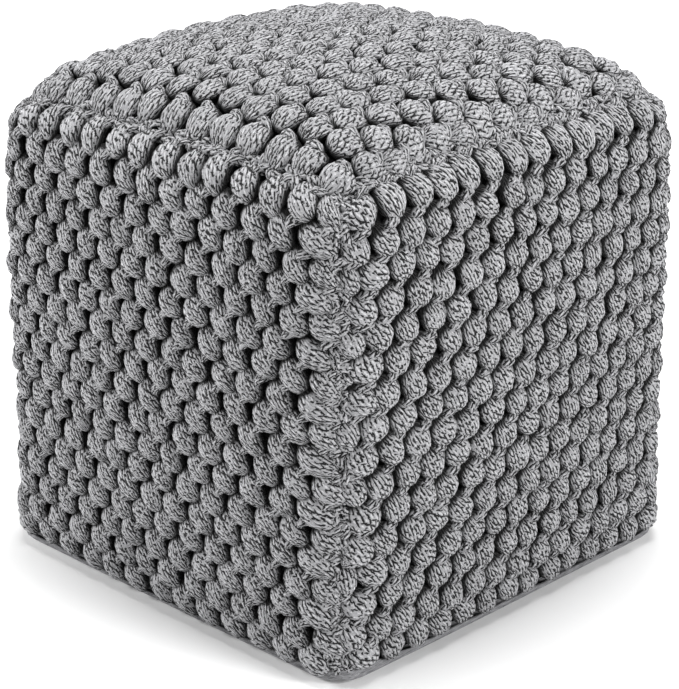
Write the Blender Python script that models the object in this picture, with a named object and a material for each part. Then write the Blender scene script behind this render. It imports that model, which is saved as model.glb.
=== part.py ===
"""Knitted cube pouf.

One filled body with a crowned top and drawn-in edges carries five knitted panels, each covered
with puffs of yarn ("buds") in staggered rows, and a plain base cloth that turns up in a low rim.
Metres, +Z up, origin at the middle of the underside.

Every piece is drawn on one rounded form. A place on that form is given as a point of the cube
from -1 to 1, and `ground` turns it into the surface of the knitted ground and its outward
direction. Panels, base and body are that surface moved in or out by their own thickness.
"""

import math
import random
from typing import Callable, NamedTuple

import bmesh
import bpy
from mathutils import Matrix, Vector
from mathutils.geometry import delaunay_2d_cdt

# Driving dimensions, in metres
WIDTH = 0.400            # over the bud tips, along the edges
HEIGHT = 0.410           # over the bud tips, along the top edges
BUD_HEIGHT = 0.012       # a bud's tip over the ground of its panel
EDGE_RADIUS = 0.039      # upright edges, over the bud tips
TOP_RADIUS = 0.061       # edges round the top, over the bud tips
FOOT_RADIUS = 0.020      # edges round the underside, at the ground
SIDE_BULGE = 0.0109      # the middle of a side stands out this far
CROWN = 0.027            # the middle of the top stands up this far
FOOT_SPREAD = 0.022      # share by which the weight widens the foot

CLOTH = 0.003            # thickness of the knitted ground and of the base cloth
GAP = 0.0003             # between pieces that touch
SEAM_HALF = 0.0035       # from a seam's line to the edge of a panel
RIDGE_RISE = 0.0022      # the body's seam ridge over the rest of it
RIM_RISE = 0.004         # the base cloth turns up this far past the foot's edge
HOLLOW_HEIGHT = 0.0008   # the hollows between buds, over the ground
BORDER_HEIGHT = 0.0045   # a bud's flank where it meets the border of its panel
END_ROOM = 0.2           # the least room from a row's last bud to the border, in cells
END_GROWTH = 0.6         # how far the last bud's crown grows with the width of its cell
HOLLOW_PUSH = 1 / 6      # shift of a hollow that makes the cells six-sided, in cells
UNEVEN_PLACE = 0.05      # how far a bud strays from its place, in cells
UNEVEN_HEIGHT = 0.12     # share by which a bud may be lower than the others

# Lines of the coarse grid under the buds, as shares of the way from a panel's left or lower
# border to the other one. They stand close together only where the edge is round.
LEVEL_LINES = (0, 1 / 28, 1 / 14, 2 / 7, 1 / 2, 5 / 7, 13 / 14, 27 / 28, 1)
UPRIGHT_LINES = (0, 1 / 32, 1 / 8, 1 / 4, 1 / 2, 3 / 4, 29 / 32, 15 / 16, 31 / 32, 1)


class Corner(NamedTuple):
    """A top corner of the cube that has settled lower than the others."""

    x: int
    y: int
    sag: float


TOP_CORNERS = (
    Corner(x=1, y=-1, sag=0.0175),
    Corner(x=-1, y=-1, sag=0.0092),
    Corner(x=1, y=1, sag=0.0036),
    Corner(x=-1, y=1, sag=0.0019),
)


class CrownPoint(NamedTuple):
    """A point of a bud's crown, from the bud's middle along and across its strands."""

    along: float
    across: float
    height: float            # share of the bud's height


CROWN_POINTS = (
    CrownPoint(along=-0.0070, across=0.0, height=0.84),
    CrownPoint(along=0.0, across=-0.0044, height=1.0),
    CrownPoint(along=0.0070, across=0.0, height=0.84),
    CrownPoint(along=0.0, across=0.0044, height=1.0),
)


class Panel(NamedTuple):
    """A knitted panel: the way it faces and the lie of its buds."""

    name: str
    across: tuple[int, int, int]
    up: tuple[int, int, int]
    columns: int             # buds that fill a row, in cells, one cell to a bud
    rows: int
    stagger: float           # cells by which a row lies to the right of the row below it
    tilt: float              # degrees from the row to a bud's strands
    slope: float             # metres by which a row falls from its left end to its right


PANELS = (
    Panel("top_panel", (1, 0, 0), (0, 1, 0), columns=13, rows=14, stagger=0.35, tilt=80, slope=0.0),
    Panel("front_panel", (1, 0, 0), (0, 0, 1), columns=13, rows=18, stagger=0.5, tilt=-56, slope=0.008),
    Panel("right_panel", (0, 1, 0), (0, 0, 1), columns=14, rows=16, stagger=0.4, tilt=-68, slope=-0.004),
    Panel("back_panel", (-1, 0, 0), (0, 0, 1), columns=13, rows=18, stagger=0.5, tilt=-56, slope=0.004),
    Panel("left_panel", (0, -1, 0), (0, 0, 1), columns=14, rows=16, stagger=0.4, tilt=-68, slope=0.004),
)


class Finish(NamedTuple):
    """Colour and surface of one material."""

    name: str
    colour: tuple[float, float, float]
    roughness: float


KNIT = Finish("grey_cotton_yarn", (0.235, 0.238, 0.245), 0.95)
GROUND_KNIT = Finish("grey_ground_knit", (0.150, 0.152, 0.157), 0.95)
BASE_CLOTH = Finish("grey_base_cloth", (0.170, 0.172, 0.178), 0.90)

GROUND_HALF = Vector((WIDTH / 2 - BUD_HEIGHT, WIDTH / 2 - BUD_HEIGHT, (HEIGHT - BUD_HEIGHT) / 2))


def clear_scene() -> None:
    """Remove every object of the scene."""
    for item in list(bpy.data.objects):
        bpy.data.objects.remove(item, do_unlink=True)


def material(finish: Finish) -> bpy.types.Material:
    """Return the material of a finish, made once."""
    made = bpy.data.materials.get(finish.name)
    if made is None:
        made = bpy.data.materials.new(finish.name)
        made.use_nodes = True
        shader = made.node_tree.nodes["Principled BSDF"]
        shader.inputs["Base Color"].default_value = (*finish.colour, 1.0)
        shader.inputs["Roughness"].default_value = finish.roughness
        shader.inputs["Metallic"].default_value = 0.0
    return made


# The rounded form that every piece follows


def edge_radius(height: float) -> float:
    """Return the ground's edge radius at a height from -1, the underside, to 1, the top."""
    middle = EDGE_RADIUS - BUD_HEIGHT
    if height > 0:
        return middle + (TOP_RADIUS - BUD_HEIGHT - middle) * height ** 4
    return middle + (FOOT_RADIUS - middle) * height ** 4


def corner_sag(cube: Vector) -> float:
    """Return how far the settled top corners lower a point."""
    reach = max((cube.z + 1) / 2, 0.0) ** 2
    near = (c.sag * ((1 + c.x * cube.x) * (1 + c.y * cube.y) / 4) ** 2 for c in TOP_CORNERS)
    return reach * sum(near)


def ground(cube: Vector) -> tuple[Vector, Vector]:
    """Return the ground's surface point and its outward direction at a point of the cube."""
    radius = edge_radius(cube.z)
    flat = Vector([c * half for c, half in zip(cube, GROUND_HALF)])
    core = Vector([max(-half + radius, min(half - radius, f)) for f, half in zip(flat, GROUND_HALF)])
    outward = (flat - core).normalized()
    point = core + outward * radius

    x, y, z = (1 - c * c for c in cube)
    point.x += math.copysign(SIDE_BULGE * y * z, cube.x)
    point.y += math.copysign(SIDE_BULGE * x * z, cube.y)
    point.z += CROWN * x * y if cube.z > 0 else 0.0
    point.z += GROUND_HALF.z - corner_sag(cube)
    spread = 1 + FOOT_SPREAD * min(cube.z, 0.0) ** 4
    return Vector((point.x * spread, point.y * spread, point.z)), outward


def offset(cube: Vector, height: float) -> Vector:
    """Return the point at a height over the ground, or inside it where the height is negative."""
    point, outward = ground(cube)
    return point + outward * height


# Places across a face of the cube, measured along the cloth


def cloth_to_cube(distance: float, half: float, radius: float) -> float:
    """Turn a distance along the cloth from the middle of a face into a cube coordinate."""
    flat = half - radius
    if abs(distance) <= flat:
        return distance / half
    angle = (abs(distance) - flat) / radius
    return math.copysign((flat + radius * math.tan(angle)) / half, distance)


def half_cloth(half: float, radius: float) -> float:
    """Return the cloth's length from the middle of a face to the line of its seam."""
    return half - radius + radius * math.pi / 4


class Run(NamedTuple):
    """One direction across a face, from one border of its panel to the other.

    A place on it is a share of the way from the lower or left border.
    """

    half: float
    low_radius: float
    high_radius: float
    low: float               # border, in metres along the cloth from the middle of the face
    high: float
    lines: tuple[float, ...]

    def length(self) -> float:
        """Return the length between the borders, in metres along the cloth."""
        return self.high - self.low

    def cube(self, share: float) -> float:
        """Turn a place into a cube coordinate."""
        distance = self.low + share * self.length()
        radius = self.low_radius if distance < 0 else self.high_radius
        return cloth_to_cube(distance, self.half, radius)

    def cube_lines(self) -> list[float]:
        """Return the grid's lines as cube coordinates, with the two edges of the cube added."""
        return [-1.0, *(self.cube(line) for line in self.lines), 1.0]


def level_run() -> Run:
    """Return the run across a side or the top, from one seam to the other."""
    radius = EDGE_RADIUS - BUD_HEIGHT
    half = GROUND_HALF.x
    border = half_cloth(half, radius) - SEAM_HALF
    return Run(half, radius, radius, -border, border, LEVEL_LINES)


def upright_run() -> Run:
    """Return the run up a side panel, from the base cloth's rim to the top seam."""
    top_radius = TOP_RADIUS - BUD_HEIGHT
    half = GROUND_HALF.z
    low = RIM_RISE - half_cloth(half, FOOT_RADIUS)
    high = half_cloth(half, top_radius) - SEAM_HALF
    return Run(half, FOOT_RADIUS, top_radius, low, high, UPRIGHT_LINES)


LEVEL = level_run()
UPRIGHT = upright_run()


# Meshes


def new_object(name: str, mesh: bmesh.types.BMesh, finish: Finish) -> bpy.types.Object:
    """Turn a finished mesh into a named object with its material."""
    bmesh.ops.remove_doubles(mesh, verts=mesh.verts, dist=1e-6)
    bmesh.ops.recalc_face_normals(mesh, faces=mesh.faces)
    data = bpy.data.meshes.new(name)
    mesh.to_mesh(data)
    mesh.free()
    data.materials.append(material(finish))
    made = bpy.data.objects.new(name, data)
    bpy.context.scene.collection.objects.link(made)
    return made


def add_grid(
    mesh: bmesh.types.BMesh,
    columns: list[float],
    rows: list[float],
    place: Callable[[float, float], Vector],
) -> list[bmesh.types.BMVert]:
    """Add a grid of triangles, each square cut the same way, and return its last row of points."""
    points = [[mesh.verts.new(place(u, v)) for u in columns] for v in rows]
    for low, high in zip(points, points[1:]):
        for i in range(len(columns) - 1):
            mesh.faces.new((low[i], low[i + 1], high[i + 1]))
            mesh.faces.new((low[i], high[i + 1], high[i]))
    return points[-1]


def add_wall(
    mesh: bmesh.types.BMesh, inner: list[bmesh.types.BMVert], outer: list[bmesh.types.BMVert]
) -> None:
    """Join two loops of points, one over the other, with a wall of faces."""
    for i, corner in enumerate(inner):
        after = (i + 1) % len(inner)
        mesh.faces.new((corner, inner[after], outer[after]))
        mesh.faces.new((corner, outer[after], outer[i]))


# The knitted panels


class Sheet:
    """Points over a panel, in cells, with the edges that its faces have to follow."""

    def __init__(self) -> None:
        """Start with no points."""
        self.places: list[tuple[float, float]] = []
        self.heights: list[float] = []
        self.index: dict[tuple[float, float], int] = {}
        self.edges: list[tuple[int, int]] = []

    def add(self, key: tuple[float, float], height: float, shift: tuple[float, float] = (0, 0)) -> None:
        """Add a point that is known by its key and lies a little to one side of it."""
        self.index[key] = len(self.places)
        self.places.append((key[0] + shift[0], key[1] + shift[1]))
        self.heights.append(height)

    def join(self, keys: list[tuple[float, float]]) -> None:
        """Make the faces follow a line through known points."""
        self.edges.extend((self.index[a], self.index[b]) for a, b in zip(keys, keys[1:]))

    def add_faces(
        self, mesh: bmesh.types.BMesh, place: Callable[[float, float, float], Vector]
    ) -> list[bmesh.types.BMVert]:
        """Cover the sheet with triangles and return its points, in the order they were added."""
        flat = [Vector(spot) for spot in self.places]
        _, _, faces, *_ = delaunay_2d_cdt(flat, self.edges, [], 0, 1e-7)
        points = [mesh.verts.new(place(*spot, high)) for spot, high in zip(self.places, self.heights)]
        for corners in faces:
            mesh.faces.new([points[i] for i in corners])
        return points


def bud_centres(panel: Panel, row: int) -> list[float]:
    """Return where the buds of a row stand, in cells."""
    first = (0.5 + row * panel.stagger) % 1
    if first < END_ROOM - 1e-6:
        first += 1
    count = math.floor(panel.columns - END_ROOM - first + 1e-6) + 1
    return [round(first + i, 6) for i in range(count)]


def bud_borders(panel: Panel, row: int) -> list[float]:
    """Return where the buds of a row meet, in cells."""
    centres = bud_centres(panel, row)
    return [round((left + right) / 2, 6) for left, right in zip(centres, centres[1:])]


def grid_lines(run: Run, cells: int) -> list[float]:
    """Return the coarse grid's lines in cells."""
    return [round(line * cells, 6) for line in run.lines]


def border_keys(panel: Panel, width: Run, length: Run) -> list[tuple[float, float]]:
    """Return the points round a panel, in order: where the buds and the coarse grid meet it."""
    columns, rows = float(panel.columns), float(panel.rows)
    halves = {i / 2 for i in range(2 * panel.rows + 1)}
    side = sorted(halves | set(grid_lines(length, panel.rows)))
    low, high = (
        sorted({*bud_centres(panel, row), *bud_borders(panel, row), *grid_lines(width, panel.columns)})
        for row in (0, panel.rows - 1)
    )
    return [
        *((u, 0.0) for u in low[:-1]),
        *((columns, v) for v in side[:-1]),
        *((u, rows) for u in high[:0:-1]),
        *((0.0, v) for v in side[:0:-1]),
    ]


def border_height(panel: Panel, u: float, v: float) -> float:
    """Return how high a panel's face stands at its border: more beside a bud than between two."""
    if v in (0, panel.rows):
        centres = bud_centres(panel, 0 if v == 0 else panel.rows - 1)
        away = min(abs(u - centre) for centre in centres)
    else:
        away = abs(v % 1 - 0.5)
    return HOLLOW_HEIGHT + (BORDER_HEIGHT - HOLLOW_HEIGHT) * max(1 - 2 * away, 0)


def lines_around(value: float, lines: list[float]) -> tuple[float, float]:
    """Return the grid lines just below and just above a place, or the line that it lies on."""
    return max(line for line in lines if line <= value), min(line for line in lines if line >= value)


def smooth_back(panel: Panel, width: Run, length: Run) -> Sheet:
    """Lay out a panel's back, on the same coarse grid as the body under it."""
    columns, rows = grid_lines(width, panel.columns), grid_lines(length, panel.rows)
    back = Sheet()
    for key in border_keys(panel, width, length):
        back.add(key, -CLOTH)
    for v in rows[1:-1]:
        for u in columns[1:-1]:
            back.add((u, v), -CLOTH)
    for u0, u1 in zip(columns, columns[1:]):
        for v0, v1 in zip(rows, rows[1:]):
            back.join([(u0, v0), (u1, v1)])
            if v0 > 0:
                back.join([(u0, v0), (u1, v0)])
            if u0 > 0:
                back.join([(u0, v0), (u0, v1)])
    return back


def bobbled_face(panel: Panel, width: Run, length: Run) -> Sheet:
    """Lay out a panel's face: a crown on every bud and hollows between the staggered rows."""
    pitch = Vector((width.length() / panel.columns, length.length() / panel.rows))
    chance = random.Random(panel.name)
    face = Sheet()
    for u, v in border_keys(panel, width, length):
        face.add((u, v), border_height(panel, u, v))
    for row in range(1, panel.rows):
        # Hollows where two buds of the row above meet are pushed up, and the others down
        pushes = {u: -HOLLOW_PUSH for u in bud_borders(panel, row - 1)}
        pushes |= {u: HOLLOW_PUSH for u in bud_borders(panel, row)}
        for u, push in sorted(pushes.items()):
            stray = [chance.uniform(-UNEVEN_PLACE, UNEVEN_PLACE) / 2 for _ in range(2)]
            face.add((u, float(row)), HOLLOW_HEIGHT, (stray[0], push + stray[1]))
        line = [0.0, *sorted(pushes), float(panel.columns)]
        face.join([(u, float(row)) for u in line])

    turn = Matrix.Rotation(math.radians(panel.tilt), 2)
    for row in range(panel.rows):
        for u in bud_borders(panel, row):
            face.join([(u, float(row)), (u, row + 1.0)])
        for u in bud_centres(panel, row):
            room = min(u, panel.columns - u)
            spare = room - 0.5 if room < END_ROOM + 1 else 0.0
            stray = [chance.uniform(-UNEVEN_PLACE, UNEVEN_PLACE) for _ in range(2)]
            nearer = math.copysign(1, u - panel.columns / 2) * spare / 2
            middle = Vector((u + nearer + stray[0], row + 0.5 + stray[1]))
            size = 1 + END_GROWTH * spare
            height = BUD_HEIGHT * (1 - chance.uniform(0, UNEVEN_HEIGHT))
            for point in CROWN_POINTS:
                reach = Vector((point.along, point.across)) * size
                reach.rotate(turn)
                spot = middle + Vector((reach.x / pitch.x, reach.y / pitch.y))
                face.add((spot.x, spot.y), height * point.height)
    return face


def add_panel(panel: Panel, width: Run, length: Run) -> bpy.types.Object:
    """Make a knitted panel: its smooth back, its bobbled face and the wall between them."""
    across, up = Vector(panel.across), Vector(panel.up)
    out = across.cross(up)
    columns, rows = grid_lines(width, panel.columns), grid_lines(length, panel.rows)

    def place(u: float, v: float, height: float) -> Vector:
        """Return the point at a place in cells."""
        level, upright = width.cube(u / panel.columns), length.cube(v / panel.rows)
        return offset(across * level + up * upright + out, height)

    def place_on_grid(u: float, v: float, height: float) -> Vector:
        """Return the point at a place in cells, on the straight edges of the coarse grid."""
        u_low, u_high = lines_around(u, columns)
        v_low, v_high = lines_around(v, rows)
        reach = (u_high - u_low) + (v_high - v_low)
        share = (u - u_low + v - v_low) / reach if reach else 0.0
        return place(u_low, v_low, height).lerp(place(u_high, v_high, height), share)

    def place_on_row(u: float, v: float, height: float) -> Vector:
        """Return the point at a place in cells, where the rows fall a little to one side."""
        share = v / panel.rows
        fall = panel.slope * (u / panel.columns - 0.5) * 4 * share * (1 - share)
        return place(u, v - fall * panel.rows / length.length(), height)

    mesh = bmesh.new()
    round_it = len(border_keys(panel, width, length))
    back = smooth_back(panel, width, length).add_faces(mesh, place_on_grid)
    face = bobbled_face(panel, width, length).add_faces(mesh, place_on_row)
    add_wall(mesh, back[:round_it], face[:round_it])
    return new_object(panel.name, mesh, KNIT)


# The filled body


def body_point(cube: Vector) -> Vector:
    """Return the body's surface point: inside the panels, with a ridge along each seam."""
    on_edge = sum(abs(abs(c) - 1) < 1e-6 for c in cube) > 1
    over_rim = cube.z > UPRIGHT.cube(0) + 1e-6
    ridge = RIDGE_RISE if on_edge and over_rim else 0.0
    return offset(cube, ridge - CLOTH - GAP)


def add_body() -> bpy.types.Object:
    """Make the filled body, one closed form under the panels and the base."""
    level, upright = LEVEL.cube_lines(), UPRIGHT.cube_lines()
    mesh = bmesh.new()
    for panel in PANELS:
        across, up = Vector(panel.across), Vector(panel.up)
        out = across.cross(up)
        rows = level if out.z > 0.5 else upright
        add_grid(mesh, level, rows, lambda u, v: body_point(across * u + up * v + out))
    add_grid(mesh, level, level, lambda u, v: body_point(Vector((u, -v, -1.0))))
    return new_object("filled_body", mesh, GROUND_KNIT)


# The base cloth


def add_base() -> bpy.types.Object:
    """Make the base cloth: flat underneath, turned up round the foot."""
    level = LEVEL.cube_lines()
    rim_line = UPRIGHT.cube(-GAP / UPRIGHT.length())
    mesh = bmesh.new()
    loops = []
    for depth in (-CLOTH, 0.0):
        add_grid(mesh, level, level, lambda u, v: offset(Vector((u, -v, -1.0)), depth))
        top_edge = []
        for panel in PANELS[1:]:
            across, up = Vector(panel.across), Vector(panel.up)
            out = across.cross(up)
            last = add_grid(
                mesh, level, [-1.0, rim_line], lambda u, v: offset(across * u + up * v + out, depth)
            )
            top_edge.extend(last[:-1])
        loops.append(top_edge)
    add_wall(mesh, *loops)
    return new_object("base_panel", mesh, BASE_CLOTH)


def main() -> None:
    """Build the pouf."""
    clear_scene()
    add_body()
    for panel in PANELS:
        if panel.name == "top_panel":
            add_panel(panel, LEVEL, LEVEL)
        else:
            add_panel(panel, LEVEL, UPRIGHT)
    add_base()


if __name__ == "__main__":
    main()
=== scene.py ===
"""Looks of a knitted cube pouf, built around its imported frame.

A stuffed body carries five knitted panels. Each panel is a thin sheet of tight knit with rows of
raised puffs of plied cotton yarn on it, called buds here. The panels meet in seams sewn with the
same yarn, and a woven cloth closes the underside and turns up round the foot.

Metres, +Z up, origin at the middle of the underside, as in the frame. Every piece follows one
rounded form. A place on that form is a point of the cube from -1 to 1, as in the frame's source.
"""

import logging
import math
from collections.abc import Callable
from dataclasses import dataclass
from enum import Enum
from functools import partial
from typing import Any

import bpy
import numpy as np
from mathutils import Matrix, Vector


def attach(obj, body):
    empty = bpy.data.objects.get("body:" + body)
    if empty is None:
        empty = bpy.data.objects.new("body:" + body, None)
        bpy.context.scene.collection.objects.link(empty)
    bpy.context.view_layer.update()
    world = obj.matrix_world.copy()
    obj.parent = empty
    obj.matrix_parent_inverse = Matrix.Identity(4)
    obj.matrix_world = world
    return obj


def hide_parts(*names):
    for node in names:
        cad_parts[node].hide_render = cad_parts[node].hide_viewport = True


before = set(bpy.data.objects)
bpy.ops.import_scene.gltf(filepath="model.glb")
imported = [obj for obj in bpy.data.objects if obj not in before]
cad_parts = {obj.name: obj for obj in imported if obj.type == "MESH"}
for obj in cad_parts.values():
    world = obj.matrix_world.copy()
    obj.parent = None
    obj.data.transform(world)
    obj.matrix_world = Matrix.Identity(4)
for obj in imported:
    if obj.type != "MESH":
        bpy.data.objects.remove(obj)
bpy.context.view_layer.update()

log = logging.getLogger("pouf")

BODY = "root"                # the frame's one rigid body
MM = 0.001
TINY = 1e-6                  # keeps rounding errors from deciding

CLOTH = 3.0 * MM             # thickness of the knitted ground and of the base cloth
GAP = 0.3 * MM               # between pieces that touch
SEAM_HALF = 3.5 * MM         # from a seam's line to the edge of a panel
RIM_RISE = 4.0 * MM          # the base cloth turns up this far past the foot's edge
BUD_HEIGHT = 12.0 * MM       # a bud's tip over the ground of its panel
FLANK = 7.0 * MM             # the cracks of a bud are open up to this height
END_ROOM = -0.3              # the least room from a row's last bud to the border, in cells
END_GROWTH = 0.6             # how far the last bud widens with its cell
FOOT_ROOM = 8.0 * MM         # from the rim of the base cloth to the lowest buds
STEEPEST = math.radians(80)  # the furthest that a run follows the rounding of an edge
FULL_TURN = 6.3              # radians, about a whole turn, for turns that chance decides


# Meshes


def deselect() -> None:
    """Leave object mode as the only mode and nothing selected."""
    if bpy.context.object and bpy.context.object.mode != "OBJECT":
        bpy.ops.object.mode_set(mode="OBJECT")
    bpy.ops.object.select_all(action="DESELECT")


def activate(piece: bpy.types.Object) -> None:
    """Make a piece the only selected object and the active one.

    Args:
        piece: The object.
    """
    deselect()
    piece.select_set(True)
    bpy.context.view_layer.objects.active = piece


def added(name: str) -> bpy.types.Object:
    """Name the primitive that was just added and put its place into its mesh.

    Args:
        name: Its new name.

    Returns:
        The primitive.
    """
    piece = bpy.context.object
    piece.name = piece.data.name = name
    bpy.ops.object.transform_apply(location=True, rotation=True, scale=True)
    return piece


def coordinates(piece: bpy.types.Object) -> np.ndarray:
    """Return a piece's points.

    Args:
        piece: The mesh object.

    Returns:
        Rows of x, y and z.
    """
    flat = np.empty(len(piece.data.vertices) * 3, np.float32)
    piece.data.vertices.foreach_get("co", flat)
    return flat.reshape(-1, 3).astype(float)


def move_points(piece: bpy.types.Object, points: np.ndarray) -> None:
    """Put a piece's points at new places."""
    piece.data.vertices.foreach_set("co", points.astype(np.float32).ravel())
    piece.data.update()


def normals(piece: bpy.types.Object) -> np.ndarray:
    """Return the outward direction at each of a piece's points.

    Args:
        piece: The mesh object.

    Returns:
        Rows of x, y and z, each 1 long.
    """
    flat = np.empty(len(piece.data.vertices) * 3, np.float32)
    piece.data.vertex_normals.foreach_get("vector", flat)
    return flat.reshape(-1, 3).astype(float)


def delete_points(piece: bpy.types.Object, chosen: np.ndarray) -> None:
    """Delete points of a piece, with the faces that use them.

    Args:
        piece: The mesh object.
        chosen: For each point, whether it goes.
    """
    activate(piece)
    mesh = piece.data
    mesh.vertices.foreach_set("select", chosen)
    mesh.edges.foreach_set("select", [False] * len(mesh.edges))
    mesh.polygons.foreach_set("select", [False] * len(mesh.polygons))
    bpy.ops.object.mode_set(mode="EDIT")
    bpy.ops.mesh.select_mode(type="VERT")
    bpy.ops.mesh.delete(type="VERT")
    bpy.ops.object.mode_set(mode="OBJECT")


def face_outwards(piece: bpy.types.Object, merge: float | None = None) -> None:
    """Turn the faces of a piece outwards.

    Args:
        piece: The mesh object.
        merge: Points nearer than this become one first.
    """
    activate(piece)
    bpy.ops.object.mode_set(mode="EDIT")
    bpy.ops.mesh.select_all(action="SELECT")
    if merge is not None:
        bpy.ops.mesh.remove_doubles(threshold=merge)
    bpy.ops.mesh.normals_make_consistent(inside=False)
    bpy.ops.object.mode_set(mode="OBJECT")


def apply_modifier(piece: bpy.types.Object, kind: str, **settings: Any) -> None:
    """Add a modifier with its settings and apply it.

    Args:
        piece: The mesh object that the modifier shapes.
        kind: The modifier's type, such as SOLIDIFY.
        **settings: Properties of the modifier.
    """
    activate(piece)
    modifier = piece.modifiers.new(kind.title(), kind)
    for name, value in settings.items():
        setattr(modifier, name, value)
    bpy.ops.object.modifier_apply(modifier=modifier.name)


def set_attributes(piece: bpy.types.Object, **values: np.ndarray) -> None:
    """Store numbers or vectors for the points of a piece.

    Args:
        piece: The mesh object.
        **values: Under each name, one number or one row of three for each point.
    """
    stored = piece.data.attributes
    for name, numbers in values.items():
        kind, field = ("FLOAT", "value") if numbers.ndim == 1 else ("FLOAT_VECTOR", "vector")
        attribute = stored.get(name) or stored.new(name, kind, "POINT")
        attribute.data.foreach_set(field, numbers.astype(np.float32).ravel())


def get_attribute(piece: bpy.types.Object, name: str, width: int = 1) -> np.ndarray:
    """Read what is stored for the points of a piece.

    Args:
        piece: The mesh object.
        name: Name that it is stored under.
        width: 1 for numbers, 3 for vectors.

    Returns:
        One number or one row for each point.
    """
    flat = np.empty(len(piece.data.vertices) * width, np.float32)
    piece.data.attributes[name].data.foreach_get("value" if width == 1 else "vector", flat)
    return flat.astype(float) if width == 1 else flat.reshape(-1, width).astype(float)


def copies_as_one(name: str, source: bpy.types.Object, points: np.ndarray) -> bpy.types.Object:
    """Join many copies of a small shape, each with its own points, into one mesh.

    Args:
        name: Name of the new piece.
        source: The small shape, modelled once. It is removed.
        points: Places of every copy's points, as copies x points x 3.

    Returns:
        The new piece.
    """
    count, size, _ = points.shape
    faces = [tuple(face.vertices) for face in source.data.polygons]
    all_faces = [tuple(i + copy * size for i in face) for copy in range(count) for face in faces]
    mesh = bpy.data.meshes.new(name)
    mesh.from_pydata(points.reshape(-1, 3).tolist(), [], all_faces)
    mesh.update()
    piece = bpy.data.objects.new(name, mesh)
    bpy.context.scene.collection.objects.link(piece)
    bpy.data.objects.remove(source)
    return piece


def finish_piece(
    piece: bpy.types.Object, material: bpy.types.Material, slot: str, *nodes: str
) -> bpy.types.Object:
    """Shade a piece, give it its material and tie it to the frame.

    Args:
        piece: The finished mesh.
        material: Its material.
        slot: Name of a material slot; not used.
        *nodes: The frame's nodes that it stands for.

    Returns:
        The same piece.
    """
    piece.data.materials.clear()
    piece.data.materials.append(material)
    piece.data.shade_smooth()
    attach(piece, BODY)
    if nodes:
        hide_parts(*nodes)
    triangles = sum(len(face.vertices) - 2 for face in piece.data.polygons)
    log.info("%s: %d triangles", piece.name, triangles)
    return piece


# The rounded form that every piece follows


@dataclass(frozen=True)
class PoufForm:
    """The surface of the knitted ground: a rounded cube that has settled under its own weight."""

    half_width: float = 188 * MM
    half_height: float = 199 * MM
    edge_radius: float = 27 * MM
    top_radius: float = 49 * MM
    foot_radius: float = 20 * MM
    side_bulge: float = 10.9 * MM
    crown: float = 27 * MM
    foot_spread: float = 0.022
    # Each top corner with how far it has sunk
    corners: tuple[tuple[int, int, float], ...] = (
        (1, -1, 17.5 * MM),
        (-1, -1, 9.2 * MM),
        (1, 1, 3.6 * MM),
        (-1, 1, 1.9 * MM),
    )

    def corner_sag(self, cube: np.ndarray) -> np.ndarray:
        """Return how far the sunken top corners lower points.

        Args:
            cube: Points of the cube.

        Returns:
            One distance for each point, in metres.
        """
        reach = np.maximum((cube[:, 2] + 1) / 2, 0) ** 2
        near = sum(
            sag * ((1 + x * cube[:, 0]) * (1 + y * cube[:, 1]) / 4) ** 2
            for x, y, sag in self.corners
        )
        return reach * near

    def ground(self, cube: np.ndarray) -> tuple[np.ndarray, np.ndarray]:
        """Turn points of the cube into the form's surface.

        Args:
            cube: Rows of x, y and z, with the largest of them at -1 or 1.

        Returns:
            The surface points and the outward directions there.
        """
        half = np.array((self.half_width, self.half_width, self.half_height))
        height = np.clip(cube[:, 2], -1, 1)
        other = np.where(height > 0, self.top_radius, self.foot_radius)
        radius = (self.edge_radius + (other - self.edge_radius) * height ** 4)[:, None]
        flat = cube * half
        core = np.clip(flat, radius - half, half - radius)
        away = flat - core
        outward = away / np.linalg.norm(away, axis=1, keepdims=True)
        points = core + outward * radius

        x, y, z = np.maximum(1 - cube ** 2, 0).T
        points[:, 0] += np.copysign(self.side_bulge * y * z, cube[:, 0])
        points[:, 1] += np.copysign(self.side_bulge * x * z, cube[:, 1])
        points[:, 2] += np.where(cube[:, 2] > 0, self.crown * x * y, 0.0)
        points[:, 2] += self.half_height - self.corner_sag(cube)
        points[:, :2] *= 1 + self.foot_spread * np.minimum(height, 0)[:, None] ** 4
        return points, outward

    def offset(self, cube: np.ndarray, height: np.ndarray | float) -> np.ndarray:
        """Return the points at a height over the surface."""
        points, outward = self.ground(cube)
        return points + outward * np.broadcast_to(height, len(cube))[:, None]

    def level(self) -> "Run":
        """Return the run across a side or the top, from one seam to the other."""
        border = half_cloth(self.half_width, self.edge_radius) - SEAM_HALF
        return Run(self.half_width, self.edge_radius, self.edge_radius, -border, border)

    def upright(self) -> "Run":
        """Return the run up a side.

        Returns:
            The way from the base cloth's rim to the top seam.
        """
        low = RIM_RISE - half_cloth(self.half_height, self.foot_radius)
        high = half_cloth(self.half_height, self.top_radius) - SEAM_HALF
        return Run(self.half_height, self.foot_radius, self.top_radius, low, high)


def half_cloth(half: float, radius: float) -> float:
    """Return the cloth's length from the middle of a face to the line of its seam."""
    return half - radius + radius * math.pi / 4


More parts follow.
